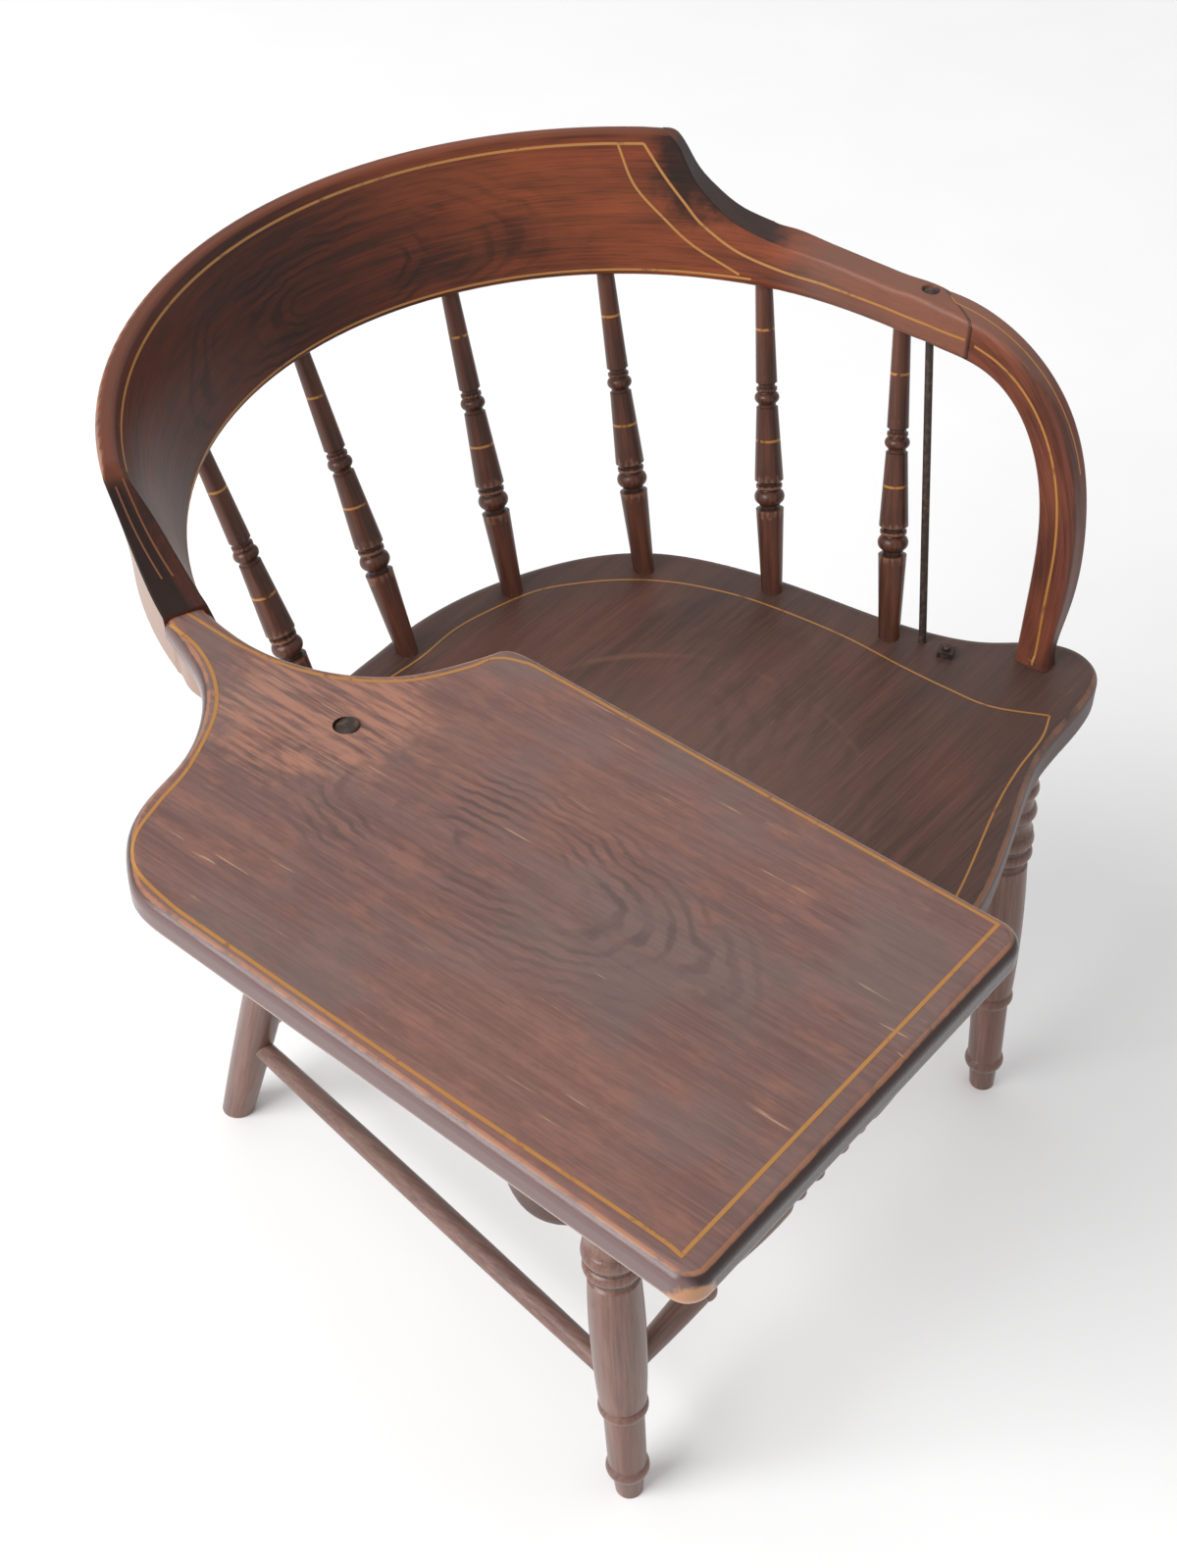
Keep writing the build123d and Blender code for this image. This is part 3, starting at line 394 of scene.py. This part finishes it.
def tablet_wear(shader, along, colour):
    """Rubbed neck and light scratches over the tablet's colour."""
    rubbed = shader.broken(shader.near(NECK, 0.12), 42, 0.5, 0.85)
    grain = shader.step(shader.streaks(along, 300, 0.09, 5), 0.38, 0.62)
    colour = shader.over(colour, TABLET_RUBBED, shader.both(rubbed, grain), 0.55)
    return shader.over(colour, BARE_WOOD, scratches(shader, along, 0.08), 0.5)


def tablet_edges(shader, colour, sides):
    """Dark sides, made lighter on the outer side by a painted sheen of the window, bare below on
    the outer side, with worn upper edges.
    """
    sideways, _, tilt = shader.normal()
    colour = shader.over(colour, TABLET_SIDE, sides, 0.95)
    # painted sheen: sides that face the window get a lighter colour
    painted_sheen = shader.both(sides, shader.step(sideways, -0.4, -0.8))
    colour = shader.over(colour, TABLET_SIDE_SHEEN, painted_sheen, 0.75)
    upper = shader.both(shader.step(tilt, 0.985, 0.93), shader.step(tilt, 0.6, 0.85))
    colour = shader.over(colour, ORANGE_WEAR, shader.broken(upper, 90, 0.75, 1.05), 0.6)
    lower = shader.both(shader.step(tilt, 0.0, -0.4), shader.step(tilt, -0.99, -0.9))
    x = shader.split(shader.place)[0]
    outer = shader.step(x, TABLET_LOW.x + 0.09, TABLET_LOW.x + 0.01)
    bare = shader.broken(shader.both(lower, outer), 30, 0.7, 0.95)
    colour = shader.over(colour, BARE_WOOD, bare)
    ragged = shader.broken(shader.near(OUTER_CORNER, 0.03), 110, 0.5, 0.75)
    return shader.over(colour, TABLET_CORNER, shader.both(ragged, shader.step(tilt, 0.75, 0.3)))


def tablet_material():
    """Writing tablet, with its grain from back to front."""
    shader = Shader("tablet_paint")
    x, y, z = shader.split(shader.place)
    along = shader.join(y, x, z)
    colour, fine = tablet_grain(shader, along)
    colour = tablet_wear(shader, along, colour)
    sides = shader.step(shader.normal()[2], 0.95, 0.7)
    colour = tablet_edges(shader, colour, sides)
    dull = gloss(shader, fine, 0.4, coat=0.12, specular=0.3)
    return shader.finish(colour, shader.math("SUBTRACT", dull, shader.times(sides, 0.3)), fine)


CREST_FIGURE_MIDDLE = (0.01, 0.695)     # along the arc and up
BLACK_SHARE = 0.85                      # how far the paint covers on the sloping ends
BROWNER_SHARE = 0.5                     # how much less it covers on their browner part


def ring_grain(shader):
    """Arc length round the rail, radius and height."""
    x, y, z = shader.split(shader.vector("SUBTRACT", shader.place, (CHAIR_X, RING_Y, 0)))
    angle = shader.math("ARCTAN2", x, y)
    radius = shader.math("SQRT", shader.add(shader.times(x, x), shader.times(y, y)))
    return shader.join(shader.times(angle, RAIL_REACH), radius, z)


def rail_at(angle):
    """Arc length round the rail at an angle in degrees from the middle of the back."""
    return RAIL_REACH * radians(angle)


def crest_grain(shader, along):
    """Dark figured grain, with painted window light that makes the left end redder and lighter;
    gives colour and height.
    """
    arc, _, z = shader.split(along)
    # painted light: the crest's left end faces the window, so its grain colours are made lighter
    # and redder
    lit_left_end = shader.step(arc, -0.05, 0.25)
    light = shader.mix(lit_left_end, *CREST_LIGHT_WITH_LIT_END)
    warm = shader.mix(lit_left_end, *CREST_WARM_WITH_LIT_END)
    colour, fine = grained(shader, along, BLACK_BROWN, light, warm, 0.55)
    ovals = figure(shader, arc, z, CREST_FIGURE_MIDDLE, 0.0062, 0.075, 16.0)
    return shader.over(colour, NEAR_BLACK, ovals, 0.6), fine


def ogee_ends(shader, along, colour):
    """Black slopes at both ends of the crest; browner inside on the tablet's side."""
    arc, radius, z = shader.split(along)
    tilt = shader.normal()[2]
    ends = shader.band(shader.math("ABSOLUTE", arc), rail_at(63), rail_at(4), 0.06)
    slopes = shader.broken(shader.both(ends, shader.step(tilt, 0.2, 0.45)), 60, 0.3, 0.8)
    middle_at_floor = RAIL_REACH - SLOPE_IN - SLOPE_DRIFT * CREST_TOP
    middle = shader.add(shader.times(z, SLOPE_DRIFT), middle_at_floor)
    inside = shader.step(shader.math("SUBTRACT", radius, middle), 0.0015, -0.002)
    browner = shader.both(inside, shader.step(arc, -0.1, -0.2))
    black = shader.math("SUBTRACT", BLACK_SHARE, shader.times(browner, BROWNER_SHARE))
    return shader.over(colour, NEAR_BLACK, slopes, black)


def rail_material():
    """Back rail: figured crest, black ogee ends, duller arms, rubbed edges, and painted window
    light that lightens the outer faces of its right end.
    """
    shader = Shader("rail_paint")
    along = ring_grain(shader)
    arc, radius, z = shader.split(along)
    sideways, _, tilt = shader.normal()
    colour, fine = crest_grain(shader, along)
    arms = shader.step(shader.math("ABSOLUTE", arc), rail_at(70), rail_at(80))
    colour = shader.over(colour, DULL_BROWN, arms, 0.45)
    # painted window light on the outer faces of the rail's right end, which face the window
    painted_window_pale_mask = shader.both(shader.step(arc, -0.2, -0.36), shader.step(sideways, -0.45, -0.8))
    colour = shader.over(colour, PAINTED_WINDOW_PALE, painted_window_pale_mask, 0.75)
    colour = ogee_ends(shader, along, colour)
    high = shader.step(z, CREST_TOP - 0.012, CREST_TOP - 0.002)
    outer = shader.step(radius, RAIL_REACH - 0.007, RAIL_REACH - 0.001)
    worn = shader.broken(shader.both(high, outer), 45, 0.8, 1.1)
    colour = shader.over(colour, ORANGE_WEAR, worn, 0.7)
    top = shader.both(high, shader.step(tilt, 0.5, 0.8))
    colour = shader.over(colour, WARM_RED, top, 0.45)
    colour = shader.over(colour, NEAR_BLACK, scarf_line(shader), 0.8)
    return shader.finish(colour, gloss(shader, fine, 0.3), fine, soft_edge=0.0025)


def bow_material():
    """Bent arms: warm red-brown, grain round the bend, duller and worn on top."""
    shader = Shader("bow_paint")
    x, y, z = shader.split(shader.place)
    ahead = shader.math("SUBTRACT", BOW_Y, y)
    up = shader.times(shader.add(z, -BOW_Z), BOW_REACH / BOW_RISE)
    turn = shader.math("ARCTAN2", ahead, up)
    out = shader.math("SQRT", shader.add(shader.times(ahead, ahead), shader.times(up, up)))
    along = shader.join(shader.times(turn, (BOW_REACH + BOW_RISE) / 2), x, out)
    colour, fine = grained(shader, along, BLACK_BROWN, BOW_LIGHT, BOW_WARM, 0.7)
    top = shader.broken(shader.step(shader.normal()[2], 0.45, 0.9), 40, 0.3, 0.8)
    colour = shader.over(colour, DULL_BROWN, top, 0.45)
    colour = shader.over(colour, NEAR_BLACK, scarf_line(shader), 0.8)
    return shader.finish(colour, gloss(shader, fine, 0.3), fine, soft_edge=0.0015)


def plain_grain_material(name, order):
    """Grained paint with the grain along the axis that order puts first."""
    shader = Shader(name)
    axes = shader.split(shader.place)
    along = shader.join(*[axes[number] for number in order])
    colour, fine = grained(shader, along, LEG_DARK, LEG_LIGHT, DULL_BROWN, 0.3)
    return shader.finish(colour, gloss(shader, fine, 0.28, coat=0.3), fine)


def stick_axis(node):
    """Two points on the axis of a turned piece, near its ends, lower one first."""
    points = sorted((vertex.co.copy() for vertex in node.data.vertices), key=lambda point: point.z)
    fifth = len(points) // 5
    return sum(points[:fifth], Vector()) / fifth, sum(points[-fifth:], Vector()) / fifth


def stick_material(name, node, dark, light, coat, rings=()):
    """Turned piece: grain along its own axis, dark hollows, rubbed beads and painted
    rings at shares of its length between the seat and the rail."""
    shader = Shader(name + "_paint")
    low, high = stick_axis(node)
    way = (high - low).normalized()
    side = way.orthogonal().normalized()
    from_low = shader.vector("SUBTRACT", shader.place, tuple(low))
    t = shader.vector("DOT_PRODUCT", from_low, tuple(way))
    u = shader.vector("DOT_PRODUCT", from_low, tuple(side))
    v = shader.vector("DOT_PRODUCT", from_low, tuple(way.cross(side)))
    colour, fine = grained(shader, shader.join(t, u, v), dark, light, WARM_RED, 0.3)
    sharp = shader.geometry.outputs["Pointiness"]
    colour = shader.over(colour, NEAR_BLACK, shader.step(sharp, 0.485, 0.44), 0.8)
    beads = shader.broken(shader.step(sharp, 0.52, 0.58), 200, 0.5, 0.9)
    colour = shader.over(colour, RUBBED, beads, 0.4)
    for share in rings:
        height = SEAT_TOP + (RAIL_UNDER - SEAT_TOP) * share
        middle = (height - low.z) / way.z
        line = shader.band(t, middle, 0.0008, 0.0003)
        rubbed = shader.noise(shader.place, 160, 3)
        colour = shader.over(colour, MUSTARD, line, shader.step(rubbed, 0.66, 0.5))
    return shader.finish(colour, gloss(shader, fine, 0.24, coat=coat), fine)


def iron_material():
    """Old iron, dark and unevenly rusted."""
    shader = Shader("old_iron")
    rust = shader.noise(shader.place, 220, 4, 0.65)
    colour = shader.mix(shader.step(rust, 0.45, 0.65), IRON_DARK, IRON_RUST)
    shader.bsdf.inputs["Metallic"].default_value = 0.35
    return shader.finish(colour, shader.add(shader.times(rust, 0.4), 0.35), rust, 0.0003)


def stripe_material(name, fresh, worn_share):
    """Striping paint, thin and rubbed through in places."""
    shader = Shader(name)
    worn = shader.noise(shader.place, 70, 5, 0.7)
    colour = shader.mix(shader.step(worn, worn_share, worn_share + 0.14), fresh, OLD_STRIPE)
    return shader.finish(colour, 0.42, worn, 0.0001)


# ---------------------------------------------------------------- pinstripes
def smooth_way(points, gap=0.004):
    """Evenly spaced points on a smooth curve through the given points."""
    ends = [points[0] * 2 - points[1], *points, points[-1] * 2 - points[-2]]
    way = []
    for a, b, c, d in zip(ends, ends[1:], ends[2:], ends[3:]):
        steps = max(1, round((c - b).length / gap))
        for step in range(steps):
            t = step / steps
            bend = (2 * a - 5 * b + 4 * c - d) * t ** 2 + (3 * b - a - 3 * c + d) * t ** 3
            way.append((2 * b + (c - a) * t + bend) * 0.5)
    return [*way, points[-1]]


SURFACES = {}


def surface_of(node):
    """Search tree of a CAD node's surface, built once."""
    if node not in SURFACES:
        depsgraph = bpy.context.evaluated_depsgraph_get()
        SURFACES[node] = BVHTree.FromObject(frame["nodes"][node], depsgraph)
    return SURFACES[node]


PAINT_HIGH = 0.00012        # top of a line above the surface
PAINT_LOW = -0.00025        # its underside, sunk a little


def stripe(name, node, points, width, material):
    """Line of paint on a CAD node's surface along a smooth way through the points."""
    spots = [surface_of(node).find_nearest(point)[:2] for point in smooth_way(points)]
    section = ((-1, PAINT_LOW), (1, PAINT_LOW), (1, PAINT_HIGH), (-1, PAINT_HIGH))
    verts, faces = [], []
    for number, (place, normal) in enumerate(spots):
        before = spots[max(number - 1, 0)][0]
        after = spots[min(number + 1, len(spots) - 1)][0]
        across = (after - before).cross(normal).normalized() * width / 2
        verts += [place + across * side + normal * rise for side, rise in section]
    for number in range(len(spots) - 1):
        base = number * 4
        for corner in range(4):
            following = (corner + 1) % 4
            faces.append((base + corner, base + following, base + 4 + following, base + 4 + corner))
    faces += [(3, 2, 1, 0), tuple(len(verts) - 4 + corner for corner in range(4))]
    made = mesh_object(name, verts, faces, material)
    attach(made, ROOT)


# places on the seat's left half and on the tablet, for chair()
SEAT_BACK_LINE = [
    (0, 146), (44, 148), (84, 141), (120, 130), (147, 112), (173, 88), (194, 60), (209, 28),
    (221, -15), (228, -85), (226, -146), (226, -186), (229, -222), (248, -262),
]
SEAT_FRONT_LINE = [(0, -314), (53, -305), (134, -283), (181, -274), (222, -270), (248, -262)]
TABLET_INNER_LINE = [
    (-294, 62), (-295.5, 35), (-295.5, 8), (-289.5, -29), (-276.5, -59), (-255, -85),
    (-226, -102.5), (-211, -108), (-203, -122), (-201, -149), (-205, -290), (-208, -412),
    (-209, -450),
]
TABLET_OUTER_LINE = [
    (-479, -446), (-477, -420), (-475, -290), (-471, -140), (-469, -103), (-462, -72),
    (-447, -56), (-420, -46.5), (-389, -38.5), (-350, -19), (-327, 4), (-313, 32), (-308, 62),
]
# angles and heights on the crest, for crest_face()
CREST_TOP_LINE = 751
CREST_BOTTOM_LINE = 664.5
CREST_TOP_END = -55         # where these lines end on the tablet's side
CREST_BOTTOM_END = -64
OGEE_OUTER_LINE = [
    (52.3, 751), (55.1, 731), (58, 714), (60.9, 699), (66.3, 683), (73.2, 675), (80, 674),
]
OGEE_INNER_LINE = [(49, 750), (51.2, 724), (55.4, 702), (59.8, 684), (66.7, 667)]
ARM_LINE = 0.6745           # height of the outer line where it runs on along the arm
BOW_FOOT = chair(284, -223, 428)
# widths of the lines
TABLET_WIDTH = 0.0022
MAIN_WIDTH = 0.0019         # crest's top, its left end's outer line and the bows' faces
OGEE_INNER_WIDTH = 0.0018
CREST_BOTTOM_WIDTH = 0.0017
SEAT_WIDTH = 0.0016
BOW_TOP_WIDTH = 0.0012
SLOPE_WIDTH = 0.0011


def crest_stripes(paint):
    """Lines along the top and bottom of the crest and down its left end."""
    top = [crest_face(angle, CREST_TOP_LINE) for angle in range(CREST_TOP_END, 53, 6)]
    top.append(crest_face(*OGEE_OUTER_LINE[0]))
    stripe("pinstripe_crest_top", "back_rail", top, MAIN_WIDTH, paint)
    bottom = [crest_face(angle, CREST_BOTTOM_LINE) for angle in range(CREST_BOTTOM_END, 65, 6)]
    bottom.append(crest_face(68.5, CREST_BOTTOM_LINE + 0.5))
    stripe("pinstripe_crest_bottom", "back_rail", bottom, CREST_BOTTOM_WIDTH, paint)
    inner = [crest_face(angle, height) for angle, height in OGEE_INNER_LINE]
    stripe("pinstripe_ogee_inner", "back_rail", inner, OGEE_INNER_WIDTH, paint)
    outer = [crest_face(angle, height) for angle, height in OGEE_OUTER_LINE]
    face = CHAIR_X + ARM_MIDDLE - ARM_HALF - 0.001
    for ahead in (0.0, 0.03, SCARF_AHEAD[1] - 0.004):
        outer.append(Vector((face, RING_Y - ahead, ARM_LINE)))
    stripe("pinstripe_ogee_outer", "back_rail", outer, MAIN_WIDTH, paint)


def bow_stripes(paint):
    """Line down the middle of the bows' inner faces and one over the left bow's top."""
    inner = [bow_point(turn, -ARM_HALF - 0.002, 0) for turn in range(12, 91, 8)]
    inner += [inner[-1].lerp(BOW_FOOT, 0.5), BOW_FOOT]
    for side, way in (("left", inner), ("right", mirrored(inner))):
        stripe(f"pinstripe_bow_{side}", f"arm_bow_{side}", way, MAIN_WIDTH, paint)
    upper = [bow_point(turn, 0, 0.02) for turn in range(0, 66, 8)]
    stripe("pinstripe_bow_top_left", "arm_bow_left", upper, BOW_TOP_WIDTH, paint)


def seat_stripes(paint):
    """Line round the seat behind the spindles' feet and along its front."""
    height = SEAT_TOP * 1000
    for name, half in (("back", SEAT_BACK_LINE), ("front", SEAT_FRONT_LINE)):
        left = [chair(x, y, height) for x, y in half]
        right = mirrored(left[1:])
        stripe(f"pinstripe_seat_{name}", "seat", [*reversed(right), *left], SEAT_WIDTH, paint)


def tablet_stripes(paint):
    """Line round the tablet in three runs; the front one ends against the others."""
    half = TABLET_WIDTH / 2
    height = TABLET_TOP * 1000
    inner = [chair(x, y, height) for x, y in TABLET_INNER_LINE]
    outer = [chair(x, y, height) for x, y in TABLET_OUTER_LINE]
    front = [inner[-1] + Vector((-half, half, 0)), outer[0] + Vector((half, half, 0))]
    for name, way in (("inner", inner), ("front", front), ("outer", outer)):
        stripe(f"pinstripe_tablet_{name}", "writing_tablet", way, TABLET_WIDTH, paint)


def slope_stripes(paint):
    """Two reddish lines that converge down the black slope at the tablet's end."""
    first, foot = -56, -65
    for name, at_first, at_foot in (("inner", 0.331, 0.314), ("outer", 0.337, 0.321)):
        way = []
        for angle in range(first, foot, -1):
            share = (angle - first) / (foot - first)
            radius = at_first + (at_foot - at_first) * share
            way.append(ring(angle, radius, CREST_TOP - 0.008 - 0.05 * share))
        stripe(f"pinstripe_slope_{name}", "back_rail", way, SLOPE_WIDTH, paint)


def pinstripes():
    """All the painted lines."""
    paint = stripe_material("mustard_stripe", MUSTARD, 0.56)
    crest_stripes(paint)
    bow_stripes(paint)
    seat_stripes(paint)
    slope_stripes(stripe_material("red_stripe", RED_STRIPE, 0.6))
    tablet_stripes(paint)


# ---------------------------------------------------------------- finish every node
SPINDLE_RINGS = (0.502, 0.855)      # shares of the way from the seat up to the rail


def dress_all():
    """Materials of all CAD nodes; what has none of its own is iron."""
    wooden = {
        "seat": seat_material(),
        "writing_tablet": tablet_material(),
        "back_rail": rail_material(),
        "stretcher_front": plain_grain_material("stretcher_front_paint", (0, 1, 2)),
        "stretcher_rear": plain_grain_material("stretcher_rear_paint", (0, 1, 2)),
        "stretcher_left": plain_grain_material("stretcher_left_paint", (1, 0, 2)),
        "stretcher_right": plain_grain_material("stretcher_right_paint", (1, 0, 2)),
    }
    wooden["arm_bow_left"] = wooden["arm_bow_right"] = bow_material()
    iron = iron_material()
    for name, node in frame["nodes"].items():
        if name.startswith("spindle"):
            material = stick_material(name, node, SPINDLE_DARK, SPINDLE_LIGHT, 0.2, SPINDLE_RINGS)
        elif name.startswith("leg"):
            material = stick_material(name, node, LEG_DARK, LEG_LIGHT, 0.4)
        else:
            material = wooden.get(name, iron)
        node.data.materials.clear()
        node.data.materials.append(material)


# ---------------------------------------------------------------- camera, floor, light
EYE = chair(-1002.66, -787.86, 1565.81)
EYE_AZIMUTH = -52.504               # degrees
EYE_ELEVATION = 42.931
EYE_ROLL = 1.258
SENSOR = 36                         # millimetres along the picture's long side
FOCAL_PIXELS = 2367.87
IMAGE_HIGH = 1599
FLOOR_HALF = 12
WINDOW_PLACE = (-4.8, 1.9, 3.9)
WINDOW_AIM = (0, 0, 0.4)
WINDOW_SIZE = 4.2
WINDOW_POWER = 440
SURROUNDINGS = 0.76                 # strength as light; the camera sees plain white


def camera():
    """Camera that looks down on the chair from the front, beyond the tablet's side."""
    data = bpy.data.cameras.new("camera")
    made = bpy.data.objects.new("camera", data)
    bpy.context.scene.collection.objects.link(made)
    turn, dip = radians(EYE_AZIMUTH), radians(EYE_ELEVATION)
    aim = Vector((-sin(turn) * cos(dip), cos(turn) * cos(dip), -sin(dip)))
    level = Vector((cos(turn), sin(turn), 0))
    up = level.cross(aim)
    roll = radians(EYE_ROLL)
    right = level * cos(roll) + up * sin(roll)
    top = -level * sin(roll) + up * cos(roll)
    made.matrix_world = Matrix((
        (right.x, top.x, -aim.x, EYE.x),
        (right.y, top.y, -aim.y, EYE.y),
        (right.z, top.z, -aim.z, EYE.z),
        (0, 0, 0, 1),
    ))
    data.sensor_width = SENSOR
    data.lens = FOCAL_PIXELS / IMAGE_HIGH * SENSOR
    bpy.context.scene.camera = made


def floor():
    """Plain pale floor."""
    shader = Shader("floor_white")
    speck = shader.noise(shader.place, 6, 3, 0.5)
    shader.finish(shader.mix(speck, FLOOR_GREY, FLOOR_WHITE), 0.8, speck, 0.0001)
    corners = [(x * FLOOR_HALF, y * FLOOR_HALF, 0) for x, y in ((-1, -1), (1, -1), (1, 1), (-1, 1))]
    mesh_object("floor", corners, [(0, 1, 2, 3)], shader.material)


def window():
    """Soft square light like a window, beyond the tablet's side."""
    data = bpy.data.lights.new("window", "AREA")
    data.size = WINDOW_SIZE
    data.energy = WINDOW_POWER
    made = bpy.data.objects.new("window", data)
    made.location = WINDOW_PLACE
    made.rotation_mode = "QUATERNION"
    towards = Vector(WINDOW_AIM) - Vector(WINDOW_PLACE)
    made.rotation_quaternion = towards.to_track_quat("-Z", "Y")
    bpy.context.scene.collection.objects.link(made)


def world():
    """White surroundings: plain white to the camera, a little dimmer as light."""
    made = bpy.data.worlds.new("studio")
    bpy.context.scene.world = made
    made.use_nodes = True
    tree = made.node_tree
    background = tree.nodes["Background"]
    background.inputs["Color"].default_value = (1, 1, 1, 1)
    rays = tree.nodes.new("ShaderNodeLightPath")
    seen = tree.nodes.new("ShaderNodeMath")
    seen.operation = "MAXIMUM"
    tree.links.new(rays.outputs["Is Camera Ray"], seen.inputs[0])
    tree.links.new(rays.outputs["Is Transmission Ray"], seen.inputs[1])
    strength = tree.nodes.new("ShaderNodeMapRange")
    strength.inputs["To Min"].default_value = SURROUNDINGS
    strength.inputs["To Max"].default_value = 1.0
    tree.links.new(seen.outputs[0], strength.inputs["Value"])
    tree.links.new(strength.outputs["Result"], background.inputs["Strength"])


def studio():
    """Camera, floor, surroundings and light."""
    camera()
    floor()
    world()
    window()
    bpy.context.scene.view_settings.view_transform = "Standard"


dress_all()
pinstripes()
studio()
